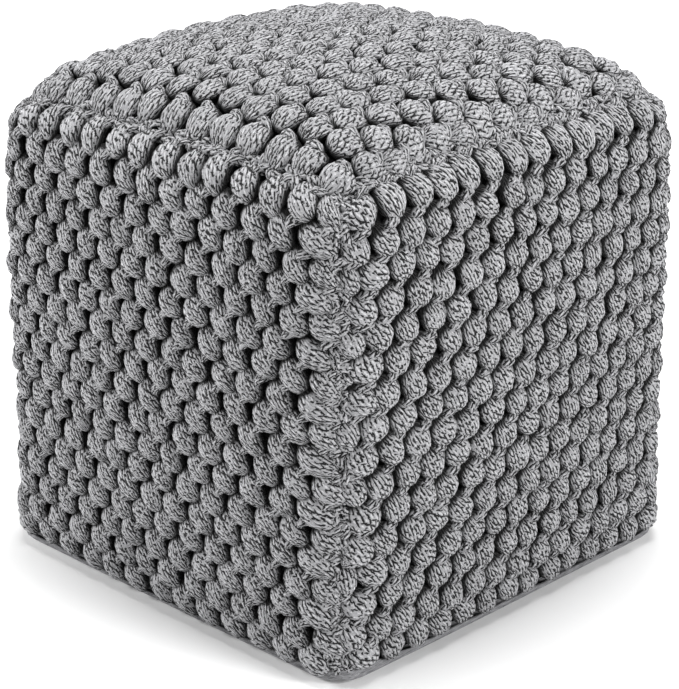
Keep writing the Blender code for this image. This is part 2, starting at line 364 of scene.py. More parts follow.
@dataclass(frozen=True)
class Run:
    """One direction across a face, from one border of its panel to the other."""

    half: float
    low_radius: float
    high_radius: float
    low: float               # border, in metres along the cloth from the middle of the face
    high: float

    @property
    def length(self) -> float:
        """Length between the borders, in metres along the cloth."""
        return self.high - self.low

    def cube(self, share: np.ndarray) -> np.ndarray:
        """Turn places on the way from the low border to the high one into cube coordinates.

        Args:
            share: Shares of the way.

        Returns:
            Cube coordinates, from -1 to 1 between the two seams.
        """
        distance = self.low + share * self.length
        radius = np.where(distance < 0, self.low_radius, self.high_radius)
        flat = self.half - radius
        turn = np.clip((np.abs(distance) - flat) / radius, 0, STEEPEST)
        reach = np.where(turn > 0, flat + radius * np.tan(turn), np.abs(distance))
        return np.copysign(reach / self.half, distance)


class Side(Enum):
    """A knitted side of the pouf: its node, and its directions across and up seen from outside."""

    TOP = ("top_panel", (1, 0, 0), (0, 1, 0))
    FRONT = ("front_panel", (1, 0, 0), (0, 0, 1))
    RIGHT = ("right_panel", (0, 1, 0), (0, 0, 1))
    BACK = ("back_panel", (-1, 0, 0), (0, 0, 1))
    LEFT = ("left_panel", (0, -1, 0), (0, 0, 1))

    @property
    def node(self) -> str:
        """Name of the panel's node."""
        return self.value[0]

    @property
    def axes(self) -> tuple[np.ndarray, np.ndarray, np.ndarray]:
        """Directions across, up and outwards."""
        across, up = np.array(self.value[1], float), np.array(self.value[2], float)
        return across, up, np.cross(across, up)


# Finishes


def linear(hex_colour: str) -> tuple[float, float, float, float]:
    """Turn an sRGB hex colour such as #A3A3A5 into linear red, green, blue and alpha."""
    values = [int(hex_colour[i : i + 2], 16) / 255 for i in (1, 3, 5)]
    return (*(v / 12.92 if v <= 0.04045 else ((v + 0.055) / 1.055) ** 2.4 for v in values), 1.0)


def add_node(
    tree: bpy.types.NodeTree,
    kind: str,
    *values: Any,
    inputs: dict[str | int, Any] | None = None,
    output: str | int = 0,
    **settings: Any,
) -> bpy.types.NodeSocket | None:
    """Add a node with its settings, socket values and links.

    Args:
        tree: The material's nodes.
        kind: The node's type without ShaderNode in front, such as Bump.
        *values: For the first sockets in order, the value or the output socket linked to it.
        inputs: The same for sockets by name or number.
        output: Name or number of the output that is wanted.
        **settings: Properties of the node.

    Returns:
        The wanted output of the new node, or None where the node has no outputs.
    """
    node = tree.nodes.new("ShaderNode" + kind)
    for name, value in settings.items():
        setattr(node, name, value)
    for name, value in (*enumerate(values), *(inputs or {}).items()):
        if isinstance(value, bpy.types.NodeSocket):
            tree.links.new(value, node.inputs[name])
        else:
            node.inputs[name].default_value = value
    return node.outputs[output] if node.outputs else None


def blank_material(name: str) -> tuple[bpy.types.Material, Callable[..., Any]]:
    """Make a material with no nodes.

    Args:
        name: Name of the real finish.

    Returns:
        The material, and add_node for it.
    """
    material = bpy.data.materials.new(name)
    material.use_nodes = True
    material.node_tree.nodes.clear()
    return material, partial(add_node, material.node_tree)


@dataclass(frozen=True)
class Finish:
    """A matt cotton finish. Each kind draws its own colour and relief."""

    name: str
    colour: str
    relief: float            # height of the relief
    roughness: float = 0.95
    specular: float = 0.15
    sheen: float = 0.0

    def draw(self, add: Callable[..., Any]) -> tuple[Any, Any]:
        """Draw the finish with add, and return the sockets of its colour and its height."""
        raise NotImplementedError

    def material(self) -> bpy.types.Material:
        """Make the material.

        Returns:
            A material with the finish's name.
        """
        material, add = blank_material(self.name)
        colour, height = self.draw(add)
        bump = add("Bump", inputs={"Strength": 1.0, "Distance": self.relief, "Height": height})
        surface = {
            "Base Color": colour,
            "Roughness": self.roughness,
            "Specular IOR Level": self.specular,
            "Sheen Weight": self.sheen,
            "Sheen Roughness": 0.6,
            "Normal": bump,
        }
        add("OutputMaterial", add("BsdfPrincipled", inputs=surface))
        return material


@dataclass(frozen=True)
class Cracks:
    """One set of cracks between strands of yarn, sunk in the relief and painted dark as shade: wavy
    lines broken into pointed dashes.
    """

    across: float            # lines to each strand of a bud's mesh
    endways: float           # and lines to each metre along it, which makes them slant
    share: float             # share of a line that opens, as a noise level
    fade: float = 0.08       # how slowly a dash opens, as a noise level
    width: float = 0.33      # how wide the cracks open, as a share of a strand's profile
    edge: float = 0.12       # how soft their edges are
    length: float = 2.7 * MM
    stray: float = 0.8       # how far the lines wander, in strands
    flush: float = 0.3       # how nearly level two strands are that haven't parted
    apart: tuple[float, float] = (7.3, 60.0)   # noise steps from line to line and from bud to bud

    def draw(self, add: Callable[..., Any], places: dict[str, Any]) -> tuple[Any, Any]:
        """Draw the cracks.

        Args:
            add: Adds a node to the material.
            places: Sockets of the strand, the place along it, the bends, the bud's chance number
                and how far its cracks open.

        Returns:
            Sockets that are 0 in a crack and 1 outside it: one with crisp edges, one rounded.
        """
        line = add("Math", places["strand"], self.across, operation="MULTIPLY")
        line = add("Math", places["along"], self.endways, line, operation="MULTIPLY_ADD")
        line = add("Math", places["bends"], self.stray, line, operation="MULTIPLY_ADD")
        wave = add("Math", line, 2 * math.pi, operation="MULTIPLY")
        wave = add("Math", wave, operation="COSINE")
        profile = add("Math", wave, 0.5, 0.5, operation="MULTIPLY_ADD")

        # Every line opens and closes in its own places
        number = add("Math", line, operation="FLOOR")
        line_step, bud_step = self.apart
        place = add(
            "CombineXYZ",
            add("Math", number, line_step, operation="MULTIPLY"),
            add("Math", places["along"], self.length, operation="DIVIDE"),
            add("Math", places["chance"], bud_step, self.endways, operation="MULTIPLY_ADD"),
        )
        dashes = add("TexNoise", inputs={"Vector": place, "Scale": 1.0, "Detail": 1.0})
        wide = add("Math", places["cracked"], self.width, operation="MULTIPLY")
        opened = add(
            "MapRange",
            dashes,
            self.share - self.fade,
            self.share + self.fade,
            wide,
            -self.edge,
            interpolation_type="SMOOTHSTEP",
        )
        crisp = add(
            "MapRange",
            add("Math", profile, opened, operation="SUBTRACT"),
            -self.edge,
            self.edge,
            0.0,
            1.0,
            interpolation_type="SMOOTHSTEP",
        )
        level = add("Math", crisp, self.flush, operation="MULTIPLY")
        return crisp, add("Math", profile, level, operation="MAXIMUM")


@dataclass(frozen=True)
class CottonYarn(Finish):
    """Plied cotton yarn, matt and a little hairy, with cracks where its strands part, painted dark
    as shade.

    The eye sees an even mid grey, broken into short crinkled strands by thin near-black lines of
    painted shade.
    """

    name: str = "grey_cotton_yarn"
    colour: str = "#C6C6C9"
    relief: float = 1.6 * MM
    sheen: float = 0.1       # of its loose hairs
    # painted shade in the cracks between strands
    crack_shade_colour: str = "#161617"
    # painted shade low on the buds, near the ground
    painted_shade_colour: str = "#060607"
    root: tuple[float, float] = (5.0 * MM, 8.6 * MM)   # the painted shade near the ground fades out between these heights
    cracks: tuple[Cracks, ...] = (
        Cracks(across=1.15, endways=0.0, share=0.55),
        Cracks(across=-0.7, endways=1 / (7.0 * MM), share=0.52),
    )
    shallow: float = 0.6     # painted shade between two strands that haven't parted
    bend: float = 3.6 * MM   # size of the bends that make the cracks wander
    hair: float = 1.1 * MM   # size of the finest hairs, drawn coarse to show
    hair_height: float = 0.3   # of the hairs beside the strands, as a share of the relief
    tone: tuple[float, float, float] = (0.62, 0.10, 0.8)   # least, by chance, by the hairs

    def draw(self, add: Callable[..., Any]) -> tuple[Any, Any]:
        """Draw the yarn, whose strands come from each bud's attributes.

        Args:
            add: Adds a node to the material.

        Returns:
            Sockets of the colour and the height.
        """
        places = {
            name: add("Attribute", attribute_name=name, output="Fac")
            for name in ("strand", "along", "chance", "lift", "cracked")
        }
        where = add("TexCoord", output="Object")
        hairs, places["bends"] = (
            add("TexNoise", inputs={"Vector": where, "Scale": 1 / size, "Detail": 2.0})
            for size in (self.hair, self.bend)
        )
        drawn = [cracks.draw(add, places) for cracks in self.cracks]
        crisp, rounded = (add("Math", *pair, operation="MINIMUM") for pair in zip(*drawn))
        height = add("Math", hairs, self.hair_height, rounded, operation="MULTIPLY_ADD")

        # Painted shade: black where two strands part, and dark where they only lie side by side
        parted = add("Math", 1.0, crisp, operation="SUBTRACT")
        beside = add("Math", 1.0, rounded, operation="SUBTRACT")
        beside = add("Math", beside, self.shallow, operation="MULTIPLY")
        crack = add("Math", parted, beside, operation="MAXIMUM")
        # Painted shade low on a bud, near the ground
        out_of_shade = add(
            "MapRange", places["lift"], *self.root, 0.0, 1.0, interpolation_type="SMOOTHSTEP"
        )
        least, by_chance, by_hairs = self.tone
        tone = add("Math", places["chance"], by_chance, least, operation="MULTIPLY_ADD")
        tone = add("Math", hairs, by_hairs, tone, operation="MULTIPLY_ADD")
        colour = linear(self.colour)
        for share, other, blend in (
            (crack, linear(self.crack_shade_colour), {}),
            (add("Math", 1.0, out_of_shade, operation="SUBTRACT"), linear(self.painted_shade_colour), {}),
            (1.0, add("CombineColor", tone, tone, tone), {"blend_type": "MULTIPLY"}),
        ):
            mixed = {0: share, 6: colour, 7: other}
            colour = add("Mix", inputs=mixed, output=2, data_type="RGBA", **blend)
        return colour, height


@dataclass(frozen=True)
class TightKnit(Finish):
    """The ground between the buds, knitted of the same yarn in small stitches.

    The eye sees little of it: a mesh of small Vs, painted near-black as the buds' shade, darker
    still between the stitches as painted shade.
    """

    name: str = "grey_ground_knit"
    # painted shade: the knit is of the grey yarn, drawn near-black as it lies in the buds' shade
    colour: str = "#1E1E1F"
    relief: float = 1.0 * MM
    specular: float = 0.1
    shade: float = 0.25      # painted shade between the stitches, as a share of the yarn's
    stitch_width: float = 4.5 * MM
    stitch_height: float = 3.6 * MM
    v_slope: float = 1.4     # stitches by which a leg of the V rises over a stitch's width

    def draw(self, add: Callable[..., Any]) -> tuple[Any, Any]:
        """Draw the stitches, whose place on the cloth comes from an attribute.

        Args:
            add: Adds a node to the material.

        Returns:
            Sockets of the colour and the height.
        """
        cloth = add("Attribute", attribute_name="cloth", output="Vector")
        x, y, _ = add("SeparateXYZ", cloth).node.outputs
        across = add("Math", x, self.stitch_width, operation="DIVIDE")
        up = add("Math", y, self.stitch_height, operation="DIVIDE")

        # Each stitch is a V: its two legs rise away from the middle of the column
        fold = add("Math", add("Math", across, operation="FRACT"), 0.5, operation="SUBTRACT")
        fold = add("Math", fold, operation="ABSOLUTE")
        fold = add("Math", fold, self.v_slope, operation="MULTIPLY")
        leg = add("Math", up, fold, operation="SUBTRACT")
        swells = []
        for place, turns, power in ((leg, math.pi, 0.5), (across, 2 * math.pi, 0.4)):
            swell = add("Math", place, turns, operation="MULTIPLY")
            swell = add("Math", add("Math", swell, operation="SINE"), operation="ABSOLUTE")
            swells.append(add("Math", swell, power, operation="POWER"))
        knit = add("Math", *swells, operation="MULTIPLY")
        # Painted shade between the stitches
        colour = linear(self.colour)
        dark = (*(self.shade * channel for channel in colour[:3]), 1.0)
        mixed = {0: knit, 6: dark, 7: colour}
        return add("Mix", inputs=mixed, output=2, data_type="RGBA"), knit


@dataclass(frozen=True)
class BaseCanvas(Finish):
    """Heavy plain-woven cotton canvas, turned up at its rim.

    The eye sees a flat matt grey with a fine square grain and level creases.
    """

    name: str = "grey_base_canvas"
    colour: str = "#A2A2A5"
    relief: float = 0.5 * MM
    roughness: float = 0.9
    specular: float = 0.2
    thread: float = 1.4 * MM       # threads drawn coarser than real ones, to show
    crease: float = 7.0 * MM       # size of the creases, which run level round the foot
    crease_stretch: tuple[float, float, float] = (1.0, 1.0, 8.0)
    crease_height: float = 4.0     # beside the weave
    tone: tuple[float, float, float] = (0.05, 0.3, 1.4)   # least, by the weave, and by the creases as painted shade in their hollows

    def draw(self, add: Callable[..., Any]) -> tuple[Any, Any]:
        """Draw the weave and the creases on Object coordinates.

        Args:
            add: Adds a node to the material.

        Returns:
            Sockets of the colour and the height.
        """
        place = add("TexCoord", output="Object")
        x, y, z = add("SeparateXYZ", place).node.outputs
        threads = []
        for axis in (x, y):
            thread = add("Math", axis, z, operation="ADD")
            thread = add("Math", thread, math.pi / self.thread, operation="MULTIPLY")
            threads.append(add("Math", thread, operation="SINE"))
        weave = add("Math", add("Math", *threads, operation="MULTIPLY"), operation="ABSOLUTE")
        drawn = add("VectorMath", place, self.crease_stretch, operation="MULTIPLY")
        crease = {"Vector": drawn, "Scale": 1 / self.crease, "Detail": 3.0}
        creases = add("TexNoise", inputs=crease)
        height = add("Math", creases, self.crease_height, weave, operation="MULTIPLY_ADD")
        # Painted shade: darker in the hollows of the creases
        least, by_weave, by_creases = self.tone
        tone = add("Math", weave, by_weave, least, operation="MULTIPLY_ADD")
        tone = add("Math", creases, by_creases, tone, operation="MULTIPLY_ADD")
        mixed = {0: 1.0, 6: linear(self.colour), 7: add("CombineColor", tone, tone, tone)}
        toned = add("Mix", inputs=mixed, output=2, data_type="RGBA", blend_type="MULTIPLY")
        return toned, height


# The knitted panels


@dataclass(frozen=True)
class Bud:
    """A puff of yarn: strands that leave the ground at one end and return at the other."""

    length: float
    width: float
    height: float = BUD_HEIGHT
    belly: float = 4.6 * MM        # height of the widest part over the ground
    segments: int = 20
    rings: int = 6
    open_angle: float = 130.0      # degrees from the top to the edge of the opening underneath
    blunt: float = 2.6             # 2 for a round puff, more for blunter ends
    dive: tuple[float, float] = (0.42, 0.22)   # how far its upper and lower ends dive, in heights
    dive_power: float = 2.2        # more keeps the dive to the very ends
    under: float = 2.0             # depth of its closed form under the widest part, in bellies
    groove: float = 0.55 * MM      # depth between two strands
    uneven_strand: float = 0.45 * MM
    crinkle: float = 0.7           # waves along a strand beside its unevenness
    waves: float = 5.5             # radians of those waves in half a bud's length
    gather: float = 1.6            # strands merge where it is this many times less than full
    taper: tuple[float, float] = (0.10, 0.30)   # how far it narrows to its lower end
    bow: float = 0.0               # how far its ends bend aside
    lightness: float = 0.0         # its painted shade ends this much lower on it
    sizes: tuple[float, float] = (0.94, 1.06)   # least and greatest share of the usual size
    heights: tuple[float, float] = (0.924, 1.113)   # and of the usual height over the belly
    lumps: tuple[float, float, float] = (0.07, 0.06, 0.05)   # two-sided, one-sided, twisted
    twist: float = 2.5             # radians that the twisted wave moves on in half its length
    skew: float = 0.06             # how far its ends stray aside, in widths

    @property
    def step(self) -> float:
        """Angle between two strands, in radians."""
        return 2 * math.pi / self.segments

    def model(self) -> bpy.types.Object:
        """Model a bud of unit size once.

        Returns:
            A ball with poles along X, open underneath.
        """
        deselect()
        bpy.ops.mesh.primitive_uv_sphere_add(
            segments=self.segments,
            ring_count=self.rings,
            radius=1.0,
            rotation=(0, math.radians(90), 0),
        )
        bud = added("bud")
        points = coordinates(bud)
        from_top = np.abs(np.arctan2(points[:, 1], points[:, 2]))
        not_pole = np.hypot(points[:, 1], points[:, 2]) > 0.01
        delete_points(bud, not_pole & (from_top > math.radians(self.open_angle)))
        return bud

    def shapes(self, unit: np.ndarray, chance: np.random.Generator, count: int) -> np.ndarray:
        """Give many buds their real size, each a little different.

        Args:
            unit: Points of the unit bud.
            chance: Source of the differences.
            count: Number of buds.

        Returns:
            Points of each bud, with x along its strands, y across and z over the ground.
        """
        x, y, z = unit.T
        turn = np.arctan2(y, z)
        blunt = np.maximum(1 - np.abs(x) ** self.blunt, 0)
        full = np.sqrt(blunt / np.maximum(1 - x ** 2, TINY))
        full = np.where(np.abs(x) > 0.99, 1.0, full)

        def vary(low: float, high: float) -> np.ndarray:
            """Return one number for each bud."""
            return chance.uniform(low, high, (count, 1))

        both, one, twisted = self.lumps
        lump = 1 + both * np.cos(2 * turn + vary(0, FULL_TURN)) * (1 - x ** 2)
        lump += one * np.cos(turn + vary(0, FULL_TURN)) * x
        lump += twisted * np.cos(3 * turn + self.twist * x + vary(0, FULL_TURN))
        along = x * vary(*self.sizes) * self.length / 2
        taper = 1 - vary(*self.taper) * x
        across = y * full * lump * taper * vary(*self.sizes) * self.width / 2
        rise = (self.height - self.belly) * vary(*self.heights)
        over = np.where(z > 0, z * rise, z * self.belly * self.under)
        over = over * full * lump + self.belly
        over = over - np.where(x < 0, *self.dive) * self.height * np.abs(x) ** self.dive_power
        across = across + (self.skew * self.width * vary(-1, 1) + self.bow) * x ** 2
        return np.stack(np.broadcast_arrays(along, across, over), axis=-1)

    def part_strands(self, buds: bpy.types.Object, seed: int) -> None:
        """Sink the lines between the strands of joined buds, and set some strands higher.

        Args:
            buds: The joined buds.
            seed: Number that makes the differences.
        """
        unit = get_attribute(buds, "unit", 3)
        turn = np.arctan2(unit[:, 1], unit[:, 2])
        strand = turn / self.step + self.segments / 2
        number = get_attribute(buds, "number").round().astype(int)
        chance = np.random.default_rng(seed)
        table = chance.uniform(-1, 1, (number.max() + 1, self.segments + 2))
        phase = chance.uniform(0, FULL_TURN, (number.max() + 1, self.segments + 2))
        index = np.clip(strand.round().astype(int), 0, self.segments + 1)
        between = (1 - np.cos(2 * math.pi * strand)) / 2
        fade = np.clip(np.hypot(unit[:, 1], unit[:, 2]) * self.gather, 0, 1)
        crinkle = self.crinkle * np.sin(unit[:, 0] * self.waves + phase[number, index])
        lift = (1 - between) * (table[number, index] + crinkle) * self.uneven_strand
        move = (lift - between * self.groove) * fade
        move_points(buds, coordinates(buds) + normals(buds) * move[:, None])
        set_attributes(buds, strand=strand, along=unit[:, 0] * self.length / 2)


@dataclass(frozen=True)
class KnitPanel:
    """A knitted panel: a sheet of tight knit with staggered rows of buds."""

    side: Side
    columns: int             # buds that fill a row, in cells, one cell to a bud
    rows: int
    stagger: float           # cells by which a row lies to the right of the row below it
    tilt: float              # degrees from the row to a bud's strands
    slope: float             # metres by which a row falls from its left end to its right
    bud: Bud
    droop: float = 3.0 * MM  # how far the tips of the buds hang
    droop_power: float = 1.5   # more keeps the hang to the tips
    lightness: float = 0.0   # the yarn's painted shade ends this much lower
    overhang: float = 0.0    # how far the outer buds reach past the seams
    lit_tip_closing: float = 0.30    # how far the cracks, with their painted shade, close at the buds' lit tips
    rope_place: float = 0.42  # from a bud's middle to the rope over its end, in bud lengths
    turn_spread: float = 6.0  # degrees, the usual difference of a bud's lean from the others'
    stray: float = 0.035     # cells, the usual distance of a bud from its place in the row
    ground_cuts: int = 36    # faces of the ground each way
    form: PoufForm = PoufForm()

    @property
    def runs(self) -> tuple[Run, Run]:
        """The run across the panel and the run up it."""
        across = self.form.level()
        return across, across if self.side is Side.TOP else self.form.upright()

    @property
    def seed(self) -> int:
        """Number that makes this panel's small differences its own."""
        return 7 + list(Side).index(self.side)

    def place(self, u: np.ndarray, v: np.ndarray, height: np.ndarray) -> np.ndarray:
        """Find points over the ground; the higher one is, the further it hangs down.

        Args:
            u: Places across the panel, in cells.
            v: Places up it, in cells.
            height: Heights over the ground, in metres.

        Returns:
            The points.
        """
        across, up, out = self.side.axes
        width, length = self.runs
        share = v / self.rows
        bow = 4 * np.clip(share, 0, 1) * (1 - np.clip(share, 0, 1))
        share = share - self.slope * (u / self.columns - 0.5) * bow / length.length
        level, upright = width.cube(u / self.columns), length.cube(share)
        points, outward = self.form.ground(np.outer(level, across) + np.outer(upright, up) + out)
        down = outward * outward[:, 2:] - (0, 0, 1)
        hang = self.droop * np.clip(height / BUD_HEIGHT, 0, 1.2) ** self.droop_power
        return points + outward * height[:, None] + down * hang[:, None]

    def centres(self) -> np.ndarray:
        """Lay out the rows of buds.

        Returns:
            For every bud its place in cells, and how much wider and longer than usual it is.
        """
        width, length = self.runs
        reach = SEAM_HALF + self.overhang
        past_side = reach * self.columns / width.length
        past_top = reach * self.rows / length.length
        past_foot = past_top if self.side is Side.TOP else -FOOT_ROOM * self.rows / length.length
        found = []
        for row in range(self.rows):
            below = past_foot if row == 0 else 0.0
            above = past_top if row == self.rows - 1 else 0.0
            v = row + 0.5 + (above - below) / 2
            u = (0.5 + row * self.stagger) % 1
            if u - 1 >= END_ROOM - TINY:
                u -= 1
            while u <= self.columns - END_ROOM + TINY:
                room = min(u, self.columns - u)
                spare = room - 0.5 + past_side if room < END_ROOM + 1 - TINY else 0.0
                nearer = math.copysign(1, u - self.columns / 2) * spare / 2
                wider = 1 + END_GROWTH * spare
                found.append((u + nearer, v, wider, 1 + END_GROWTH * (above + below) / 2))
                u += 1
        return np.array(found)

    def build_ground(self) -> bpy.types.Object:
        """Model the sheet of tight knit under the buds.

        Returns:
            The sheet.
        """
        deselect()
        cuts = self.ground_cuts
        bpy.ops.mesh.primitive_grid_add(x_subdivisions=cuts, y_subdivisions=cuts, size=2)
        sheet = added(self.side.node.replace("panel", "ground"))
        share = (coordinates(sheet)[:, :2] + 1) / 2
        width, length = self.runs
        cloth = np.column_stack((share * (width.length, length.length), np.zeros(len(share))))
        set_attributes(sheet, cloth=cloth)
        u, v = (share * (self.columns, self.rows)).T
        move_points(sheet, self.place(u, v, np.zeros(len(share))))
        apply_modifier(sheet, "SOLIDIFY", thickness=CLOTH, offset=-1.0)
        return sheet

    def lay_yarn(
        self, name: str, yarn: Bud, centres: np.ndarray, tilt: float, seed: int
    ) -> bpy.types.Object:
        """Model one shape of yarn and lay a copy of it on every given place.

        Args:
            name: Name of the new piece.
            yarn: The shape.
            centres: Places in cells, with the shares of the usual size across and up the panel.
            tilt: Degrees from the row to the strands.
            seed: Number that makes the small differences.

        Returns:
            The joined copies, each with the attributes that its material reads.
        """
        chance = np.random.default_rng(seed)
        count = len(centres)
        source = yarn.model()
        unit = coordinates(source)
        shapes = yarn.shapes(unit, chance, count)

        width, length = self.runs
        turn = np.radians(tilt + chance.normal(0, self.turn_spread, (count, 1)))
        x, y, height = shapes[..., 0], shapes[..., 1], shapes[..., 2]
        dx = (x * np.cos(turn) - y * np.sin(turn)) * centres[:, 2:3]
        dy = (x * np.sin(turn) + y * np.cos(turn)) * centres[:, 3:]
        stray = chance.normal(0, self.stray, (count, 2))
        u = centres[:, :1] + stray[:, :1] + dx * self.columns / width.length
        v = centres[:, 1:2] + stray[:, 1:] + dy * self.rows / length.length
        points = self.place(u.ravel(), v.ravel(), height.ravel())
        piece = copies_as_one(name, source, points.reshape(count, -1, 3))
        near_tip = np.clip((height.ravel() - FLANK) / (BUD_HEIGHT - FLANK), 0, 1)
        set_attributes(
            piece,
            unit=np.tile(unit, (count, 1)),
            # sets where the painted shade near the ground ends
            lift=height.ravel() + self.lightness + yarn.lightness,
            # the cracks and their painted shade close towards the lit tips
            cracked=1 - self.lit_tip_closing * near_tip,
            number=np.repeat(np.arange(count), len(unit)),
            chance=np.repeat(chance.random(count), len(unit)),
        )
        return piece

    def build_buds(self) -> bpy.types.Object:
        """Model the rows of buds, with their strands parted.

        Returns:
            The joined buds.
        """
        name = self.side.node.replace("panel", "buds")
        buds = self.lay_yarn(name, self.bud, self.centres(), self.tilt, self.seed)
        apply_modifier(buds, "SUBSURF", levels=1, render_levels=1)
        self.bud.part_strands(buds, self.seed + 20)
        return buds

    def build_ropes(self) -> bpy.types.Object:
        """Model the ropes of yarn that run from row to row, each over the upper end of a bud.

        Returns:
            The joined ropes.
        """
        name = self.side.node.replace("panel", "ropes")
        width, length = self.runs
        turn = math.radians(self.tilt)
        reach = self.bud.length * self.rope_place
        across = -math.copysign(reach, self.tilt) * math.cos(turn)
        up = reach * abs(math.sin(turn))
        offset = (across * self.columns / width.length, up * self.rows / length.length)
        centres = self.centres()
        centres[:, :2] += centres[:, 2:] * offset
        centres[:, 2:] = 1
        aside = self.tilt + math.copysign(90, self.tilt)
        ropes = self.lay_yarn(name, ROPE, centres, aside, self.seed + 40)
        ROPE.part_strands(ropes, self.seed + 60)
        return ropes

    def dress(self, yarn: bpy.types.Material, knit: bpy.types.Material) -> None:
        """Build the panel's pieces and tie them to the frame.

        Args:
            yarn: Material of the buds and the ropes.
            knit: Material of the ground.
        """
        sheet = finish_piece(self.build_ground(), knit, "ground_knit", self.side.node)
        buds = finish_piece(self.build_buds(), yarn, "bud_knit", self.side.node)
        ropes = finish_piece(self.build_ropes(), yarn, "bud_knit", self.side.node)
        width, length = self.runs


# The stuffed body


@dataclass(frozen=True)
class StuffedBody:
    """The filled body: a soft closed form that swells until the knit holds it."""

    name = "stuffed_body"
    node: str = "filled_body"
    slack: float = 3.2 * MM        # how far inside its solid it starts
    cap: float = 2.6 * MM          # how far a point may swell
    voxel: float = 12 * MM
    frames: int = 20
    pressure: float = 4.0

    def swell(self, body: bpy.types.Object) -> None:
        """Blow the body up a little with a cloth simulation and cap how far it moves.

        Args:
            body: The body's mesh object.
        """
        before = coordinates(body)
        activate(body)
        cloth = body.modifiers.new("Swell", "CLOTH")
        cloth.settings.use_pressure = True
        cloth.settings.uniform_pressure_force = self.pressure
        cloth.settings.effector_weights.gravity = 0.0
        for number in range(1, self.frames + 1):
            bpy.context.scene.frame_set(number)
        bpy.ops.object.modifier_apply(modifier=cloth.name)
        bpy.context.scene.frame_set(1)
        moved = coordinates(body) - before
        far = np.linalg.norm(moved, axis=1, keepdims=True)
        move_points(body, before + moved * np.minimum(1, self.cap / np.maximum(far, TINY)))

    def build(self) -> bpy.types.Object:
        """Model the body from a copy of its node.

        Returns:
            The body.
        """
        deselect()
        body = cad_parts[self.node].copy()
        body.data = body.data.copy()
        body.name = body.data.name = self.name
        for key in list(body.keys()):
            del body[key]
        body.parent = None
        body.hide_render = body.hide_viewport = False
        bpy.context.scene.collection.objects.link(body)
        face_outwards(body, merge=0.01 * MM)
        move_points(body, coordinates(body) - normals(body) * self.slack)
        apply_modifier(body, "REMESH", mode="VOXEL", voxel_size=self.voxel)
        self.swell(body)
        apply_modifier(body, "SUBSURF", levels=1, render_levels=1)
        set_attributes(body, cloth=coordinates(body))
        return body

    def dress(self, knit: bpy.types.Material) -> None:
        """Build the body and tie it to the frame."""
        finish_piece(self.build(), knit, "ground_knit", self.node)


# Seams


